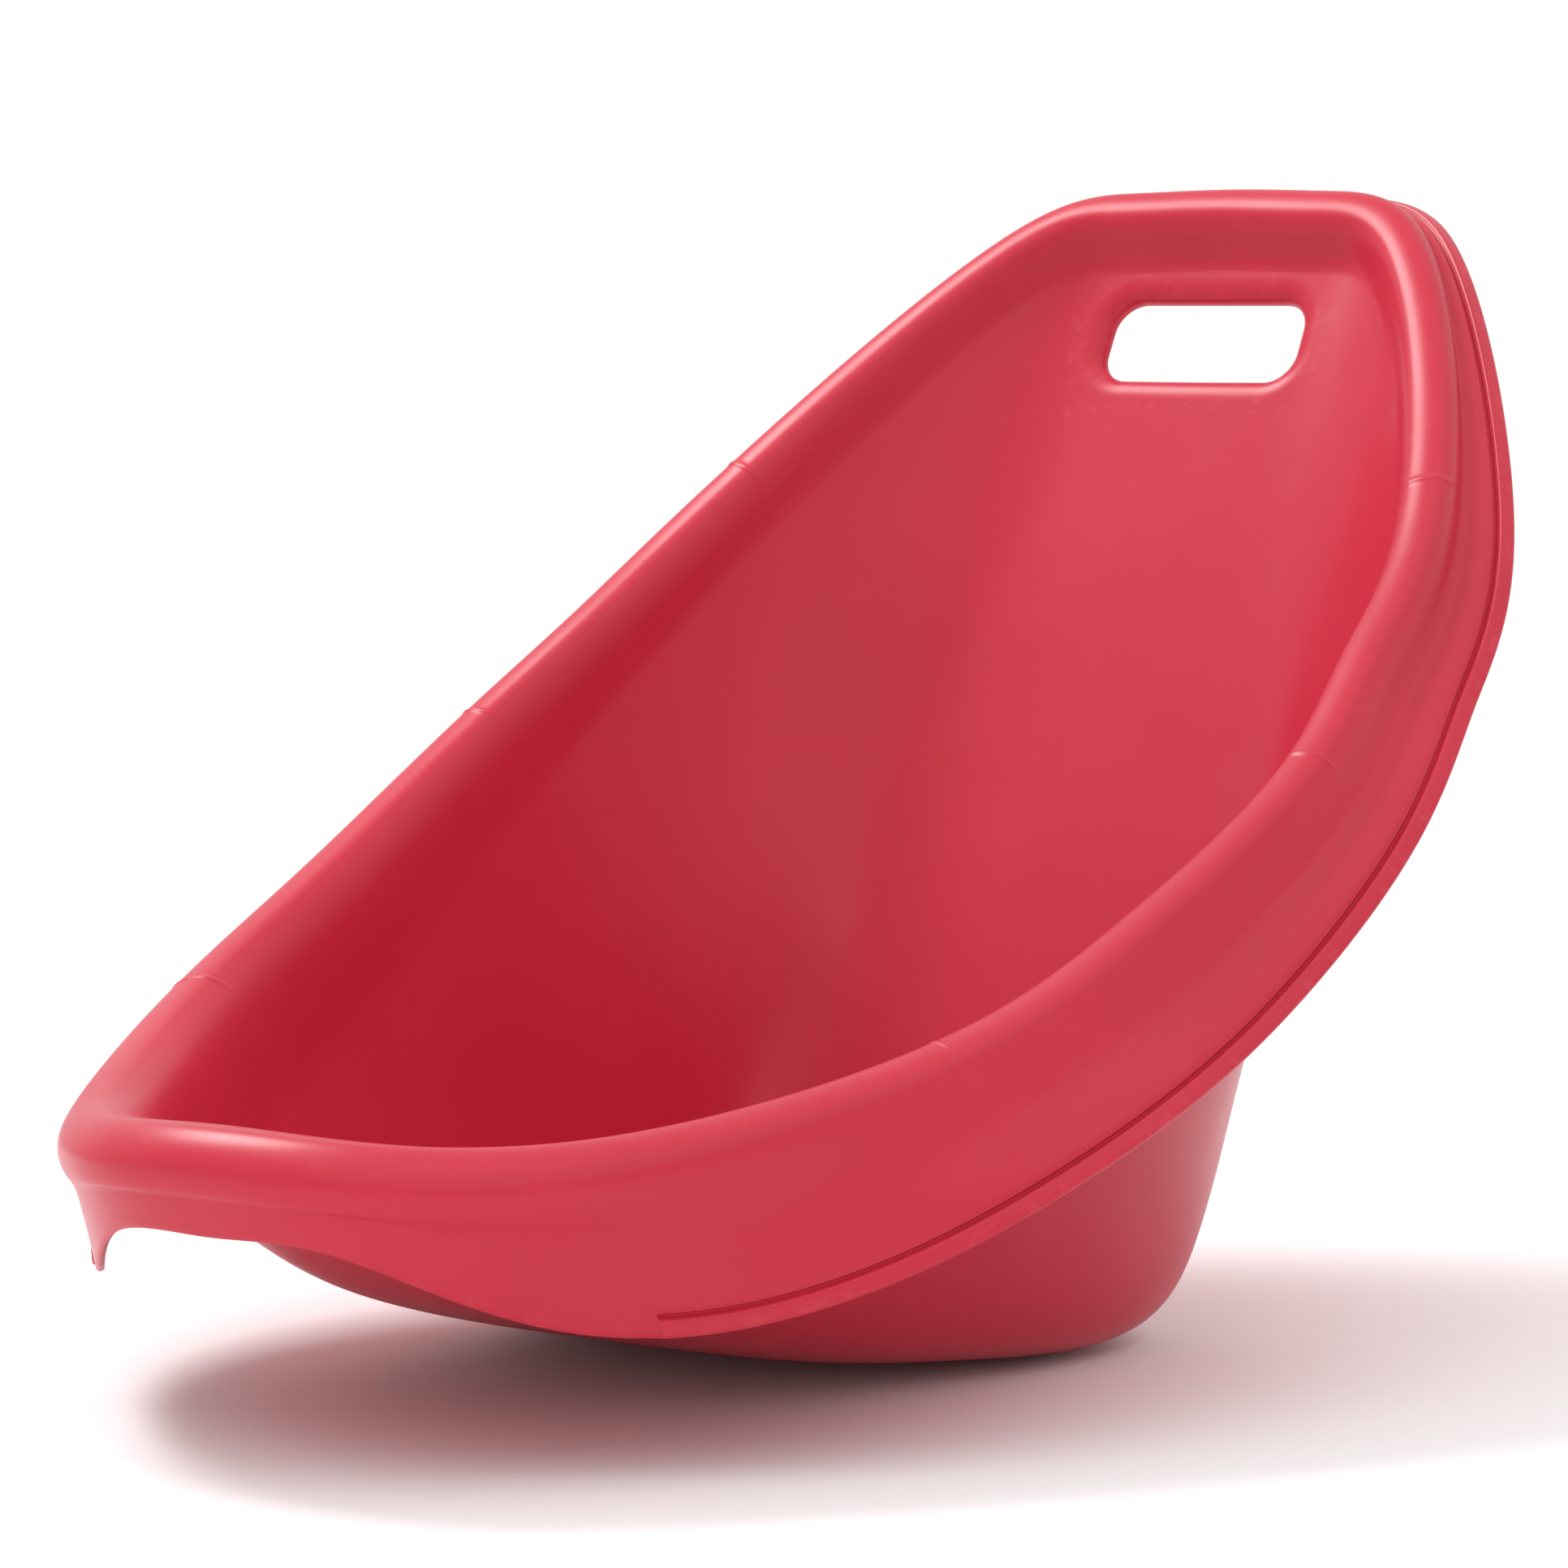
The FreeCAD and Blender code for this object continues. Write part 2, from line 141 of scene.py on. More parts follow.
class Loop:
    """Smooth closed curve through mirrored stations: 0 front centre, 1 top centre, odd in X."""

    gaps = np.sqrt(np.linalg.norm(np.diff(STATIONS[:, :3], axis=0), axis=1))
    half = np.concatenate([[0], np.cumsum(gaps)])

    def __init__(self, values, mirror):
        values = np.asarray(values, float)
        other = values[-2:0:-1] * mirror
        self.values = np.concatenate([values, other, values[:1]])
        self.length = self.half[-1]
        self.knots = np.concatenate([self.half, 2 * self.length - self.half[-2::-1]])
        self.moments = spline_moments(self.knots, self.values, True)

    def __call__(self, place):
        at = np.mod(np.atleast_1d(place) * self.length, 2 * self.length)
        return spline_value(self.knots, self.values, self.moments, at)


rail = Loop(STATIONS[:, :3], np.array([-1.0, 1.0, 1.0]))
crest_radius, brim_length, brim_flare, valley_depth, wall_start = [
    Loop(STATIONS[:, column], 1.0) for column in range(3, 8)]

line_run = FLOOR_LINE @ PLAN[1:]
line_height = FLOOR_LINE @ UP[1:]
line_moments = spline_moments(line_run, line_height, False)


def floor_height(run):
    return spline_value(line_run, line_height, line_moments,
                        np.clip(run, line_run[0], line_run[-1]))


# ------------------------------------------------------------------ rim and brim
def rim_frame(place):
    """Crest centre, outward direction and up direction of the section at each place."""
    centre = rail(place)
    along = rail(np.asarray(place) + 1e-4) - rail(np.asarray(place) - 1e-4)
    along /= np.linalg.norm(along, axis=1)[:, None]
    up = UP - (along @ UP)[:, None] * along
    up /= np.linalg.norm(up, axis=1)[:, None]
    out = np.cross(along, up)
    side = np.where((out * centre).sum(1) < 0, -1.0, 1.0)
    return centre, out * side[:, None], up


def clamped_curve(poles, count):
    """Cubic B-spline with its ends on the end poles.  poles: pole, place, 2."""
    total = len(poles)
    knots = np.concatenate([[0] * 3, np.linspace(0, 1, total - 2), [1] * 3])
    rows = []
    for u in np.linspace(0, 1, count):
        span = min(np.searchsorted(knots, u, side="right") - 1, total - 1)
        work = [poles[span - 3 + i].copy() for i in range(4)]
        for level in range(1, 4):
            for i in range(3, level - 1, -1):
                low, high = knots[span - 3 + i], knots[span + 1 + i - level]
                share = (u - low) / (high - low)
                work[i] = (1 - share) * work[i - 1] + share * work[i]
        rows.append(work[3])
    return np.array(rows)


def brim_slope(place):
    flare = np.radians(brim_flare(place))
    return np.sin(flare), np.cos(flare)


def section(place, count):
    """Section rows in 3-D from the inner edge over the crest and valley to the groove line."""
    radius, valley = crest_radius(place), valley_depth(place)
    length = brim_length(place) - LIP_WIDTH
    slope_out, slope_down = brim_slope(place)
    poles = [np.stack([radius * out, radius * up], 1) for out, up in CREST_SHAPE]
    for run, dip in BRIM_SHAPE:
        out = BRIM_ROOT[0] * radius + length * run * slope_out - valley * dip * slope_down
        up = BRIM_ROOT[1] * radius - length * run * slope_down - valley * dip * slope_out
        poles.append(np.stack([out, up], 1))
    flat = clamped_curve(poles, count)
    centre, out, up = rim_frame(place)
    return centre + flat[..., :1] * out + flat[..., 1:] * up


# ------------------------------------------------------------------ bowl
ring_place = np.linspace(-1, 1, RING_SAMPLES + 1)[:-1]
ring_edge = section(ring_place, 3)[0]
ring_run = ring_edge @ PLAN
ring_angle = np.arctan2(ring_edge[:, 0], BOWL_CENTRE - ring_run)
ring_order = np.argsort(ring_angle)
ring_data = np.stack([
    np.hypot(ring_edge[:, 0], ring_run - BOWL_CENTRE),
    ring_edge @ UP - floor_height(ring_run),
    wall_start(ring_place),
], 1)[ring_order]
ring_angle = ring_angle[ring_order]
wide_angle = np.concatenate([ring_angle - 2 * np.pi, ring_angle, ring_angle + 2 * np.pi])
wide_data = np.tile(ring_data, (3, 1))


def wall_ramp(reach, start):
    return np.hypot(reach - start, CORNER) + reach - start


def bowl_height(across, run):
    """Height of the seat surface over a plan position."""
    angle = np.arctan2(across, BOWL_CENTRE - run)
    reach, lift, start = [np.interp(angle, wide_angle, column) for column in wide_data.T]
    share = np.hypot(across, run - BOWL_CENTRE) / reach
    level = wall_ramp(0.0, start)
    rise = (wall_ramp(share, start) - level) / (wall_ramp(1.0, start) - level)
    return floor_height(run) + lift * (rise + STEEPEN * (rise ** 4 - rise))


def bowl_point(across, run):
    height = bowl_height(across, run)
    point = run[..., None] * PLAN + height[..., None] * UP
    point[..., 0] = across
    return point


# ------------------------------------------------------------------ grid of the skin
def rim_columns():
    """Places round the loop, closer together at the tips and at the witness lines."""
    places = set(np.round(np.linspace(0, 1, HALF_COLUMNS), 6))
    for place, _, _ in WITNESS_LINES:
        beside = np.linspace(-WITNESS_SPAN, WITNESS_SPAN, WITNESS_STEPS)
        places |= set(np.round(place + beside, 6))
    places |= {BRIM_TIP - TIP_STEP, BRIM_TIP + TIP_STEP}
    half = np.array(sorted(places))
    return np.concatenate([half, 2 - half[-2:0:-1]])


SECTION_COUNT = 55
CREST_COUNT = 29
FILLET_ROWS, FILLET_REACH, FILLET_TOP = 11, 8.0, 7
columns = rim_columns()
from_front = np.minimum(columns, 2 - columns)
rim = section(columns, SECTION_COUNT)
edge = rim[0]
edge_run = edge @ PLAN
reach = np.hypot(edge[:, 0], edge_run - BOWL_CENTRE)
shares = np.concatenate([np.linspace(FIRST_SHARE, WALL_SHARE, FLOOR_ROWS)[:-1],
                         np.linspace(WALL_SHARE, 1, WALL_ROWS)])


def spoke_rows(shares):
    """Seat surface at shares of each spoke, which ends at the rim's inner edge."""
    return bowl_point(shares * edge[None, :, 0],
                      BOWL_CENTRE + shares * (edge_run[None] - BOWL_CENTRE))


def smooth_join(start, start_way, end, end_way, count):
    """Rows of a smooth curve between two rows of points, without its two ends."""
    span = np.linalg.norm(end - start, axis=1)[:, None]
    start_way = start_way / np.linalg.norm(start_way, axis=1)[:, None] * span
    end_way = end_way / np.linalg.norm(end_way, axis=1)[:, None] * span
    rows = []
    for t in np.linspace(0, 1, count + 2)[1:-1]:
        rows.append((2 * t ** 3 - 3 * t ** 2 + 1) * start + (t ** 3 - 2 * t ** 2 + t) * start_way
                    + (3 * t ** 2 - 2 * t ** 3) * end + (t ** 3 - t ** 2) * end_way)
    return rows


inner_share = 1 - FILLET_REACH / reach
bowl = spoke_rows(shares[:, None] * inner_share[None])
fillet = smooth_join(bowl[-1], bowl[-1] - spoke_rows(inner_share[None] * 0.995)[0],
                     rim[FILLET_TOP], rim[FILLET_TOP + 1] - rim[FILLET_TOP - 1], FILLET_ROWS)
rim = np.concatenate([fillet, rim[FILLET_TOP:]])
SECTION_COUNT = len(rim)
CREST_COUNT = CREST_COUNT - FILLET_TOP + FILLET_ROWS
BOWL_COUNT = len(shares)

# Lip bead below the groove; the front has a plain edge instead.
LIP_PROFILE = ((0.03, -0.75), (0.08, -1.0), (0.13, -1.0), (0.18, -0.6), (0.215, 0.2), (0.25, 0.75),
               (0.30, 1.0), (0.45, 1.0), (0.65, 1.0), (0.84, 1.0), (0.93, 0.85), (0.985, 0.4),
               (1.0, -0.3))
BACK_EDGE = ((1.0, -1.4), (0.985, -2.3), (0.93, -2.85), (0.8, -3.0), (0.5, -3.0), (0.2, -3.0))
slope_out, slope_down = brim_slope(columns)
_, out_way, up_way = rim_frame(columns)
brim_down = out_way * slope_out[:, None] - up_way * slope_down[:, None]
brim_face = out_way * slope_down[:, None] + up_way * slope_out[:, None]
has_lip = (from_front > BRIM_TIP)[:, None]
lip = []
for share, lift in LIP_PROFILE:
    bead = lift * (LIP_STEP if lift > 0 else GROOVE)
    bare_edge = -0.9 * max(0.0, (share - 0.84) / 0.16) ** 2
    lip.append(rim[-1] + brim_down * LIP_WIDTH * share
               + brim_face * np.where(has_lip, bead, bare_edge))
show = np.concatenate([bowl, rim, np.array(lip)])


def grid_normals(grid):
    """Outward normals of a grid of rows round a closed loop."""
    down = np.gradient(grid, axis=0)
    round_loop = np.roll(grid, -1, axis=1) - np.roll(grid, 1, axis=1)
    normal = np.cross(round_loop, down)
    normal /= np.maximum(np.linalg.norm(normal, axis=2), 1e-12)[..., None]
    return normal if (normal[BOWL_COUNT // 2] @ UP).mean() > 0 else -normal


# Small relief of the witness lines
normals = grid_normals(show)
row_number = np.arange(len(show))
for place, height, over_brim in WITNESS_LINES:
    first = BOWL_COUNT + FILLET_ROWS - 3
    last = BOWL_COUNT + (SECTION_COUNT - 4 if over_brim else CREST_COUNT)
    window = np.clip((row_number - first) / 3, 0, 1) * np.clip((last - row_number) / 4, 0, 1)
    ridge = height * np.exp(-((from_front - place) / WITNESS_WIDTH) ** 2)
    show = show + normals * (window[:, None] * ridge[None])[..., None]

# Back face, one wall thickness behind
plain_show = np.concatenate([bowl, rim])
back = plain_show - grid_normals(plain_show) * WALL
edge_rows = [rim[-1] + brim_down * LIP_WIDTH * share + brim_face * depth
             for share, depth in BACK_EDGE]
skin = np.concatenate([show, np.array(edge_rows), back[::-1]])
ROWS, COLUMNS = skin.shape[:2]
LIP_START = BOWL_COUNT + SECTION_COUNT - 1
BACK_START = LIP_START + 1 + len(LIP_PROFILE) + len(BACK_EDGE) - 1

# ------------------------------------------------------------------ hand slot
slot_centre = bowl_point(np.array(0.0), np.array(SLOT_SPOT @ PLAN))
slot_up = np.array([0.0, math.cos(BACK_SLOPE), math.sin(BACK_SLOPE)])
slot_out = np.array([0.0, -math.sin(BACK_SLOPE), math.cos(BACK_SLOPE)])
SLOT_REACH = SLOT_LENGTH / 2 - SLOT_CORNER
SLOT_RISE = SLOT_HEIGHT / 2 - SLOT_CORNER
ROLL_WIDTH, ROLL_DEPTH = 9.0, 4.8
BELOW_SLOT, ABOVE_SLOT, BESIDE_SLOT = 13.0, 9.5, 15.0


def slot_surface(u, v):
    """Distance out of the slot plane of the seat surface over a position in that plane."""
    w = np.zeros_like(u)
    for _ in range(14):
        at = slot_centre @ PLAN + v * (slot_up @ PLAN) + w * (slot_out @ PLAN)
        w = (bowl_height(u, at) - slot_centre @ UP - v * (slot_up @ UP)) / (slot_out @ UP)
    return w


def slot_point(u, v, w):
    point = slot_centre + v[..., None] * slot_up + w[..., None] * slot_out
    point[..., 0] = u
    return point


# Cells of the grid round the slot are left out, and rings of their own fill them.
relative = bowl - slot_centre
middle = int(np.argmin(np.abs(columns - 1)))
up_slot = relative[:, middle] @ slot_up
row_low = int(np.max(np.nonzero(up_slot < -SLOT_HEIGHT / 2 - BELOW_SLOT)[0]))
row_high = int(np.min(np.nonzero(up_slot > SLOT_HEIGHT / 2 + ABOVE_SLOT)[0]))
halfway = (row_low + row_high) // 2
near = np.nonzero(np.abs(bowl[halfway, :, 0]) < SLOT_LENGTH / 2 + BESIDE_SLOT)[0]
near = near[np.abs(near - middle) < COLUMNS // 4]
col_low, col_high = int(near.min()), int(near.max())
loop = [(row_low, c) for c in range(col_low, col_high)]
loop += [(r, col_high) for r in range(row_low, row_high)]
loop += [(row_high, c) for c in range(col_high, col_low, -1)]
loop += [(r, col_low) for r in range(row_high, row_low, -1)]
loop = np.array(loop)
border = bowl[loop[:, 0], loop[:, 1]] - slot_centre
border_u, border_v = border[:, 0], border @ slot_up
axis_u = np.clip(border_u, -SLOT_REACH, SLOT_REACH)
axis_v = np.clip(border_v, -SLOT_RISE, SLOT_RISE)
away = np.stack([border_u - axis_u, border_v - axis_v], 1)
away_size = np.linalg.norm(away, axis=1)
away /= away_size[:, None]
border_gap = away_size - SLOT_CORNER


def ring(gap, drop):
    """Ring at a distance from the slot outline, dropped below the seat surface."""
    u = axis_u + away[:, 0] * (SLOT_CORNER + gap)
    v = axis_v + away[:, 1] * (SLOT_CORNER + gap)
    return slot_point(u, v, slot_surface(u, v) - drop)


def ring_at(gap, depth):
    """Ring at a distance from the slot outline, at a depth behind the slot plane."""
    u = axis_u + away[:, 0] * (SLOT_CORNER + gap)
    v = axis_v + away[:, 1] * (SLOT_CORNER + gap)
    return slot_point(u, v, np.full_like(u, -depth))


# Rings from the border of the left-out cells: over the roll, round the collar's end, and back to
# the border on the back face.
rings = []
for share in np.linspace(0, 1, 8)[1:]:
    rings.append(ring(border_gap + (ROLL_WIDTH - border_gap) * share, 0.0))
for turn in np.radians(np.linspace(0, 90, 13)[1:]):
    rings.append(ring(ROLL_WIDTH * (1 - math.sin(turn)), ROLL_DEPTH * (1 - math.cos(turn))))
end_radius = COLLAR_WALL / 2
for turn in np.radians(np.linspace(0, 180, 9)):
    rings.append(ring_at(end_radius * (1 - math.cos(turn)),
                         COLLAR_DEPTH - end_radius + end_radius * math.sin(turn)))
back_drop, collar_fillet = WALL * 1.02, 1.6
for turn in np.radians(np.linspace(0, 90, 6)):
    rings.append(ring(COLLAR_WALL + collar_fillet * (1 - math.cos(turn)),
                      back_drop + collar_fillet * (1 - math.sin(turn))))
collar_foot = COLLAR_WALL + collar_fillet
for share in np.linspace(0, 1, 7)[1:-1]:
    rings.append(ring(collar_foot + (border_gap - collar_foot) * share, back_drop))
rings = np.array(rings)

# ------------------------------------------------------------------ one skin, then named pieces
points = np.concatenate([skin.reshape(-1, 3), rings.reshape(-1, 3),
                         bowl_point(np.array([0.0]), np.array([BOWL_CENTRE]))])
centre_back = skin[-1].mean(axis=0)
points = np.concatenate([points, centre_back[None]])
CENTRE, CENTRE_BACK = len(points) - 2, len(points) - 1


def number(row, column):
    return row * COLUMNS + column % COLUMNS


def cells(first, last, chosen=None):
    """Quads between two grid rows, outside the slot cells."""
    faces = []
    wanted = range(COLUMNS) if chosen is None else chosen
    for row in range(first, last):
        mirror = ROWS - 2 - row
        in_rows = row_low <= row < row_high or row_low <= mirror < row_high
        for column in wanted:
            if in_rows and col_low <= column < col_high:
                continue
            faces.append((number(row, column), number(row, column + 1),
                          number(row + 1, column + 1), number(row + 1, column)))
    return faces


def fan(centre, row):
    return [(centre, number(row, column + 1), number(row, column)) for column in range(COLUMNS)]


def slot_cells():
    count = len(loop)
    front = [number(r, c) for r, c in loop]
    behind = [number(ROWS - 1 - r, c) for r, c in loop]
    start = ROWS * COLUMNS
    rows = [front]
    rows += [[start + k * count + i for i in range(count)] for k in range(len(rings))]
    rows.append(behind)
    faces = []
    for one, two in zip(rows, rows[1:]):
        for i in range(count):
            j = (i + 1) % count
            faces.append((one[i], one[j], two[j], two[i]))
    return faces


tip_columns = np.nonzero(from_front < BRIM_TIP)[0]
front_cells = [c for c in tip_columns if from_front[(c + 1) % COLUMNS] < BRIM_TIP]
other_cells = [c for c in range(COLUMNS) if c not in set(front_cells)]
CREST_END = BOWL_COUNT + CREST_COUNT - 1
BACK_CREST = ROWS - 1 - CREST_END
BACK_BOWL = ROWS - BOWL_COUNT

zones = {
    "seat_bowl": (
        fan(CENTRE, 0) + cells(0, BOWL_COUNT) + cells(BACK_BOWL - 1, ROWS - 1)
        + [f[::-1] for f in fan(CENTRE_BACK, ROWS - 1)],
        ("seat_floor", "back_panel", "hand_panel", "front_apron", "side_wall_left",
         "side_wall_right")),
    "hand_slot_edge": (slot_cells(), ("hand_slot_collar",)),
    "rolled_rim": (
        cells(BOWL_COUNT, CREST_END) + cells(BACK_CREST, BACK_BOWL - 1),
        ("rim_front", "rim_top", "rim_left", "rim_right")),
    "side_brim": (
        cells(CREST_END, LIP_START, other_cells) + cells(BACK_START, BACK_CREST, other_cells),
        ("brim_left", "brim_right", "brim_top")),
    "front_skirt": (
        cells(CREST_END, BACK_CREST, front_cells),
        ("brim_front",)),
    "edge_lip": (
        cells(LIP_START, BACK_START, other_cells),
        ("lip_left", "lip_right", "lip_top")),
}


def point_normals(faces):
    """Area-weighted normal at every point of the whole skin."""
    total = np.zeros_like(points)
    for size in (3, 4):
        chosen = np.array([f for f in faces if len(f) == size])
        if not len(chosen):
            continue
        corner = points[chosen]
        across = corner[:, -1] - corner[:, 1 if size == 4 else 0]
        cross = np.cross(corner[:, 2] - corner[:, 0], across)
        for k in range(size):
            np.add.at(total, chosen[:, k], cross)
    return total / np.maximum(np.linalg.norm(total, axis=1), 1e-12)[:, None]


all_faces = [face for faces, _ in zones.values() for face in faces]
smooth = point_normals(all_faces)
turned = smooth[number(5, 5)] @ UP < 0
if turned:
    smooth = -smooth

# The skin stands on the model's own box, middle on middle and underside on underside, and is
# scaled down just enough to stay inside it.
skin_low, skin_high = points.min(axis=0), points.max(axis=0)
skin_datum = np.append((skin_low + skin_high)[:2] / 2, skin_low[2])
frame_datum = np.append(((np.array(CAD_LOW) + np.array(CAD_HIGH)) / 2)[:2], CAD_LOW[2])
room = (np.array(CAD_HIGH) - np.array(CAD_LOW)) / (skin_high - skin_low)
scale = min(MM, 0.9999 * room.min())
shift = frame_datum - skin_datum * scale
placed = points * scale + shift

# Wear: most on the sole, then on the lip edge, the slot edge and the crest.
LIP_WEAR, CREST_WEAR, SLOT_WEAR = 0.35, 0.12, 0.25
SOLE_WEAR_HEIGHT = 0.012
wear = np.zeros(len(points))
grid_wear = np.zeros((ROWS, COLUMNS))
grid_wear[LIP_START + 9:BACK_START] = LIP_WEAR
grid_wear[BOWL_COUNT + 8:BOWL_COUNT + 20] = CREST_WEAR
wear[:ROWS * COLUMNS] = grid_wear.reshape(-1)
wear[ROWS * COLUMNS:ROWS * COLUMNS + rings.shape[0] * rings.shape[1]] = SLOT_WEAR
low = np.clip(1 - placed[:, 2] / SOLE_WEAR_HEIGHT, 0, 1) * np.clip(-smooth[:, 2], 0, 1)
wear = np.maximum(wear, low)


# ------------------------------------------------------------------ material
def node(tree, kind, place, **values):
    made = tree.nodes.new(kind)
    made.location = place
    for name, value in values.items():
        if hasattr(made, name):
            setattr(made, name, value)
        else:
            made.inputs[name.replace("_", " ")].default_value = value
    return made


def moulded_plastic(name, base, dark, light, roughness):
    """Satin moulded polyethylene: cloudy colour, fine pebbled skin, paler rubbed edges."""
    material = bpy.data.materials.new(name)
    material.use_nodes = True
    tree = material.node_tree
    tree.nodes.clear()
    link = tree.links.new
    output = node(tree, "ShaderNodeOutputMaterial", (900, 0))
    shader = node(tree, "ShaderNodeBsdfPrincipled", (600, 0))
    shader.inputs["IOR"].default_value = 1.5
    shader.inputs["Specular IOR Level"].default_value = 0.26
    place = node(tree, "ShaderNodeTexCoord", (-1200, 0))
    cloud = node(tree, "ShaderNodeTexNoise", (-900, 300), Scale=9.0, Detail=4.0, Roughness=0.55)
    cloud_ramp = node(tree, "ShaderNodeValToRGB", (-650, 300))
    cloud_ramp.color_ramp.elements[0].position = 0.3
    cloud_ramp.color_ramp.elements[0].color = (*dark, 1)
    cloud_ramp.color_ramp.elements[1].position = 0.72
    cloud_ramp.color_ramp.elements[1].color = (*base, 1)
    worn = node(tree, "ShaderNodeAttribute", (-900, -50))
    worn.attribute_name = "wear"
    break_up = node(tree, "ShaderNodeTexNoise", (-900, -250),
                    Scale=120.0, Detail=6.0, Roughness=0.7)
    break_ramp = node(tree, "ShaderNodeMapRange", (-650, -250))
    break_ramp.inputs["From Min"].default_value = 0.52
    break_ramp.inputs["From Max"].default_value = 0.72
    rub = node(tree, "ShaderNodeMath", (-400, -150), operation="MULTIPLY")
    paler = node(tree, "ShaderNodeMix", (-150, 250), data_type="RGBA")
    link(place.outputs["Object"], cloud.inputs["Vector"])
    link(place.outputs["Object"], break_up.inputs["Vector"])
    link(cloud.outputs["Fac"], cloud_ramp.inputs["Fac"])
    link(break_up.outputs["Fac"], break_ramp.inputs["Value"])
    link(break_ramp.outputs["Result"], rub.inputs[0])
    link(worn.outputs["Fac"], rub.inputs[1])
    colour_in = [socket for socket in paler.inputs if socket.type == "RGBA"]
    colour_out = [socket for socket in paler.outputs if socket.type == "RGBA"][0]
    link(rub.outputs[0], paler.inputs[0])
    link(cloud_ramp.outputs["Color"], colour_in[0])
    colour_in[1].default_value = (*light, 1)
    link(colour_out, shader.inputs["Base Color"])
    # Roughness: satin with soft patches, drier where it is rubbed
    patches = node(tree, "ShaderNodeTexNoise", (-900, -500), Scale=22.0, Detail=5.0, Roughness=0.6)
    rough = node(tree, "ShaderNodeMapRange", (-650, -500))
    rough.inputs["To Min"].default_value = roughness - 0.06
    rough.inputs["To Max"].default_value = roughness + 0.08
    drier = node(tree, "ShaderNodeMath", (-400, -450), operation="MULTIPLY_ADD")
    drier.inputs[1].default_value = 0.18
    link(place.outputs["Object"], patches.inputs["Vector"])
    link(patches.outputs["Fac"], rough.inputs["Value"])
    link(rub.outputs[0], drier.inputs[0])
    link(rough.outputs["Result"], drier.inputs[2])
    link(drier.outputs[0], shader.inputs["Roughness"])
    # Fine pebble of the mould and a faint long ripple
    pebble = node(tree, "ShaderNodeTexNoise", (-900, -800), Scale=900.0, Detail=2.0, Roughness=0.5)
    ripple = node(tree, "ShaderNodeTexNoise", (-900, -1050), Scale=26.0, Detail=2.0, Roughness=0.4)
    fine = node(tree, "ShaderNodeBump", (100, -600))
    fine.inputs["Strength"].default_value = 0.12
    fine.inputs["Distance"].default_value = 0.00012
    long = node(tree, "ShaderNodeBump", (-150, -800))
    long.inputs["Strength"].default_value = 0.25
    long.inputs["Distance"].default_value = 0.0005
    link(place.outputs["Object"], pebble.inputs["Vector"])
    link(place.outputs["Object"], ripple.inputs["Vector"])
    link(ripple.outputs["Fac"], long.inputs["Height"])
    link(pebble.outputs["Fac"], fine.inputs["Height"])
    link(long.outputs["Normal"], fine.inputs["Normal"])
    link(fine.outputs["Normal"], shader.inputs["Normal"])
    link(shader.outputs["BSDF"], output.inputs["Surface"])
    return material


red = moulded_plastic("red_polyethylene", (0.54, 0.022, 0.048), (0.495, 0.019, 0.042),
                      (0.64, 0.085, 0.115), 0.32)

for name, (faces, replaced) in zones.items():
    faces = [tuple(face)[::-1] if turned else tuple(face) for face in faces]
    used = np.unique(np.concatenate([np.array(face) for face in faces]))
    order = np.full(len(points), -1)
    order[used] = np.arange(len(used))
    mesh = bpy.data.meshes.new(name)
    corners = [tuple(int(order[i]) for i in face) for face in faces]
    mesh.from_pydata(placed[used].tolist(), [], corners)
    mesh.update()
    mesh.validate(clean_customdata=False)
    attribute = mesh.attributes.new("wear", "FLOAT", "POINT")
    attribute.data.foreach_set("value", wear[used].astype(np.float32))
    mesh.shade_smooth()
    mesh.normals_split_custom_set_from_vertices(smooth[used].tolist())
    mesh.materials.append(red)
    piece = bpy.data.objects.new(name, mesh)
    bpy.context.scene.collection.objects.link(piece)
    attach(piece, "root")
    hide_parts(*replaced)

# ------------------------------------------------------------------ floor, light and camera
def plain_material(name, colour, roughness):
    material = bpy.data.materials.new(name)
    material.use_nodes = True
    shader = material.node_tree.nodes["Principled BSDF"]
    shader.inputs["Base Color"].default_value = (*colour, 1)
    shader.inputs["Roughness"].default_value = roughness
    shader.inputs["Specular IOR Level"].default_value = 0.1
    return material


def add_mesh(name, corners, faces, material):
    mesh = bpy.data.meshes.new(name)
    mesh.from_pydata(corners, [], faces)
    mesh.update()
    mesh.materials.append(material)
    made = bpy.data.objects.new(name, mesh)
    bpy.context.scene.collection.objects.link(made)
    return made


FLOOR_HALF = 30.0
floor = add_mesh("floor", [(-FLOOR_HALF, -FLOOR_HALF, 0), (FLOOR_HALF, -FLOOR_HALF, 0),
                           (FLOOR_HALF, FLOOR_HALF, 0), (-FLOOR_HALF, FLOOR_HALF, 0)],
                 [(0, 1, 2, 3)], plain_material("pale_floor", (0.97, 0.97, 0.97), 0.9))

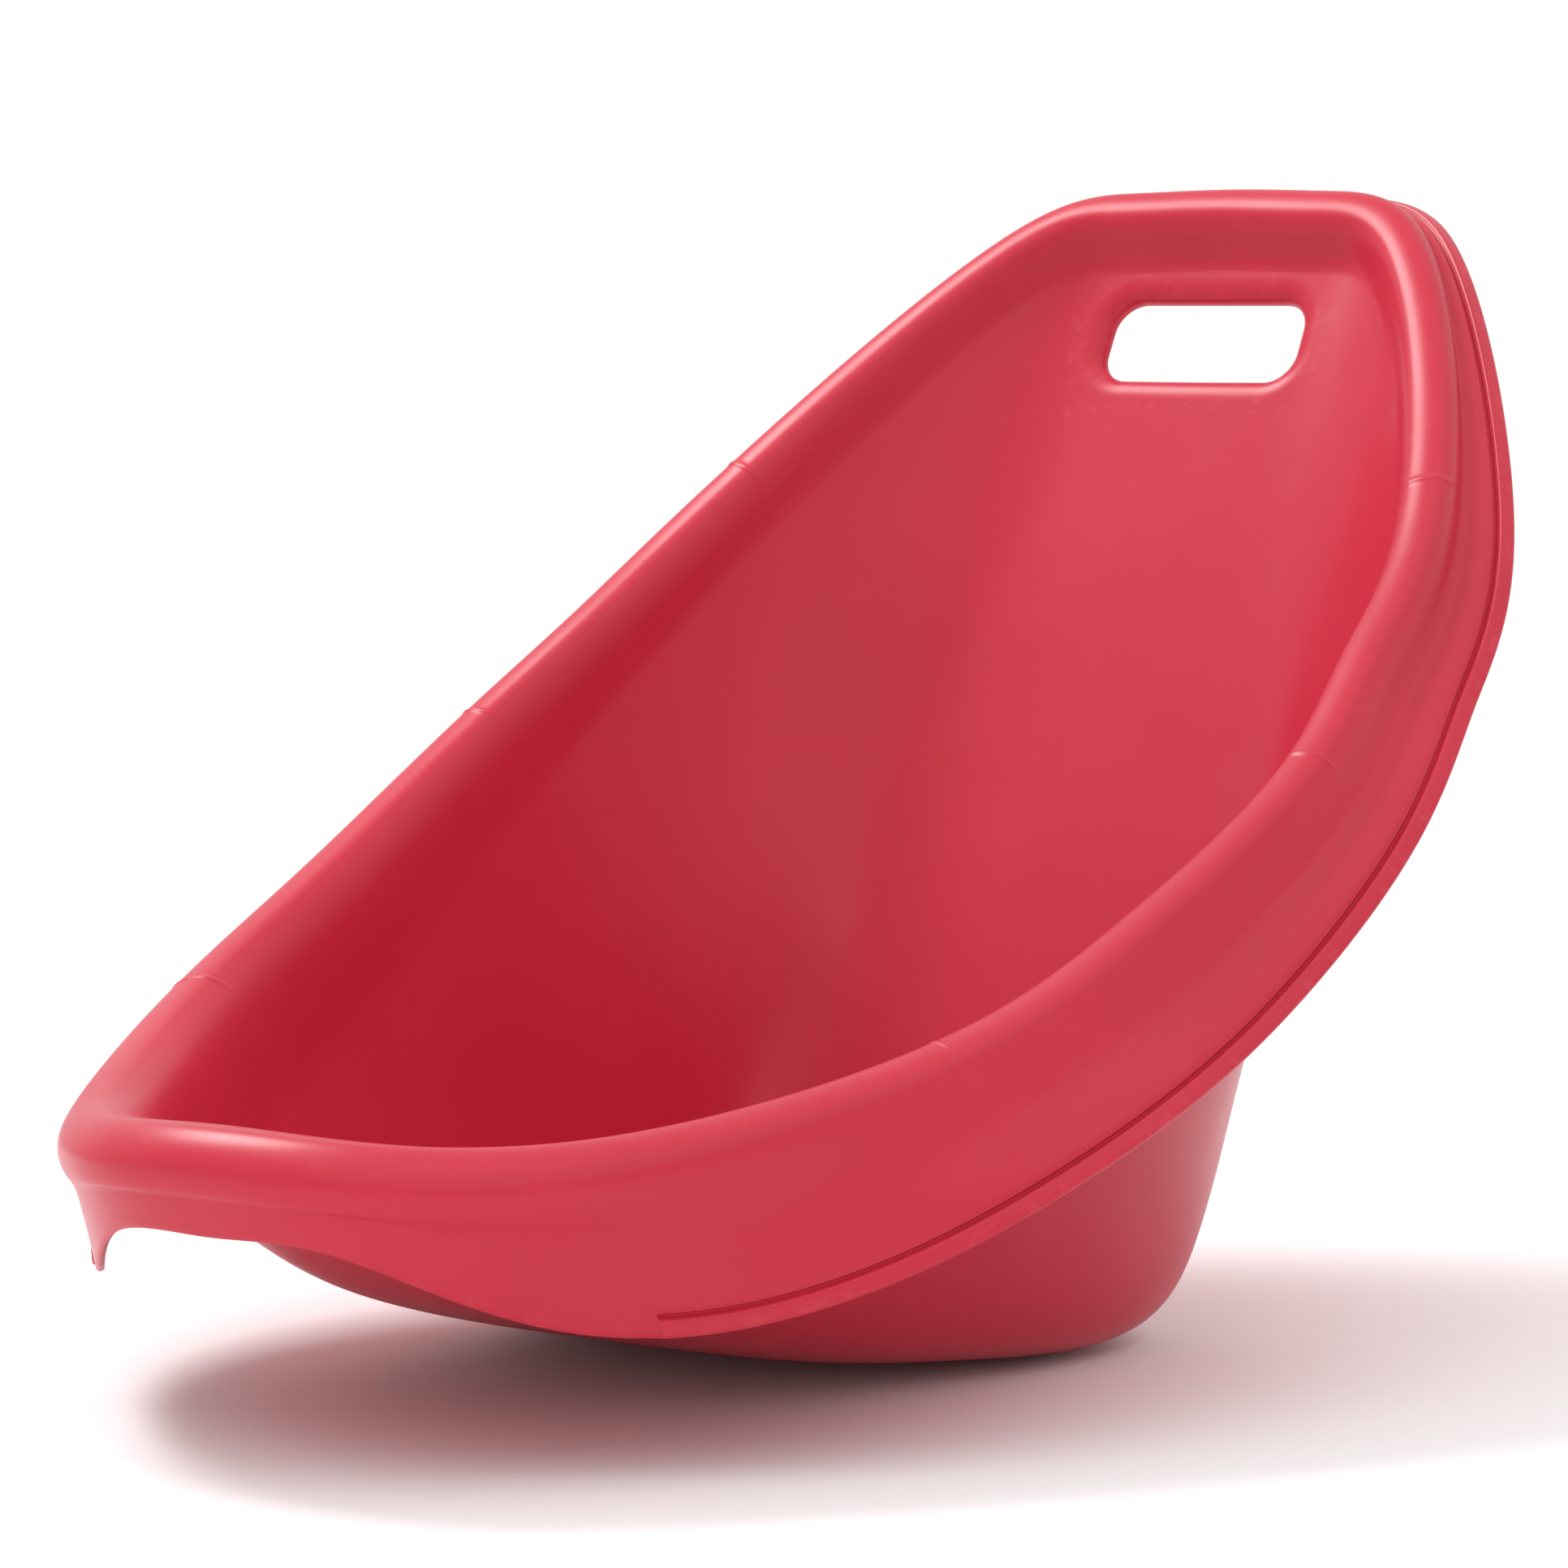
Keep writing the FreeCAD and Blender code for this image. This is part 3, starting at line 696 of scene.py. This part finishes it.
# The camera looks at the origin of the skin's own millimetre frame.
AIM = Vector(shift)
AZIMUTH, ELEVATION, DISTANCE = math.radians(36), math.radians(4.68), 2.0616
SENSOR, LENS = 36.0, 134.45
LIGHT_DISTANCE = 2.3


def add_light(name, kind, way, power, width):
    """Soft light that shines from a direction onto the middle of the seat."""
    data = bpy.data.lights.new(name, kind)
    data.energy = power
    if kind == "SUN":
        data.angle = math.radians(width)
    else:
        data.shape = "SQUARE"
        data.size = width
    light = bpy.data.objects.new(name, data)
    light.location = AIM + Vector(way).normalized() * LIGHT_DISTANCE
    light.rotation_euler = Vector(way).to_track_quat("Z", "Y").to_euler()
    bpy.context.scene.collection.objects.link(light)


add_light("overhead_skylight", "SUN", (0.35, -0.25, 0.90), 0.68, 70)
add_light("key_softbox", "AREA", (-0.586, 0.0, 0.81), 34, 0.8)

# The backdrop shows white, and lights the seat more dimly than it shows.
world = bpy.data.worlds.new("studio")
world.use_nodes = True
tree = world.node_tree
backdrop = tree.nodes["Background"]
backdrop.inputs["Color"].default_value = (1.0, 1.0, 1.0, 1)
backdrop.inputs["Strength"].default_value = 1.0
ambient = tree.nodes.new("ShaderNodeBackground")
ambient.inputs["Color"].default_value = (1.0, 1.0, 1.0, 1)
ambient.inputs["Strength"].default_value = 0.85
seen = tree.nodes.new("ShaderNodeLightPath")
choose = tree.nodes.new("ShaderNodeMixShader")
tree.links.new(seen.outputs["Is Camera Ray"], choose.inputs[0])
tree.links.new(ambient.outputs[0], choose.inputs[1])
tree.links.new(backdrop.outputs[0], choose.inputs[2])
tree.links.new(choose.outputs[0], tree.nodes["World Output"].inputs["Surface"])
bpy.context.scene.world = world
bpy.context.scene.view_settings.view_transform = "Standard"

lens = bpy.data.cameras.new("camera")
lens.sensor_width = SENSOR
lens.lens = LENS
lens.clip_end = 200.0
camera = bpy.data.objects.new("camera", lens)
flat = math.cos(ELEVATION)
camera.location = AIM + DISTANCE * Vector((math.sin(AZIMUTH) * flat, -math.cos(AZIMUTH) * flat,
                                           math.sin(ELEVATION)))
camera.rotation_euler = (AIM - camera.location).to_track_quat("-Z", "Y").to_euler()
bpy.context.scene.collection.objects.link(camera)
bpy.context.scene.camera = camera
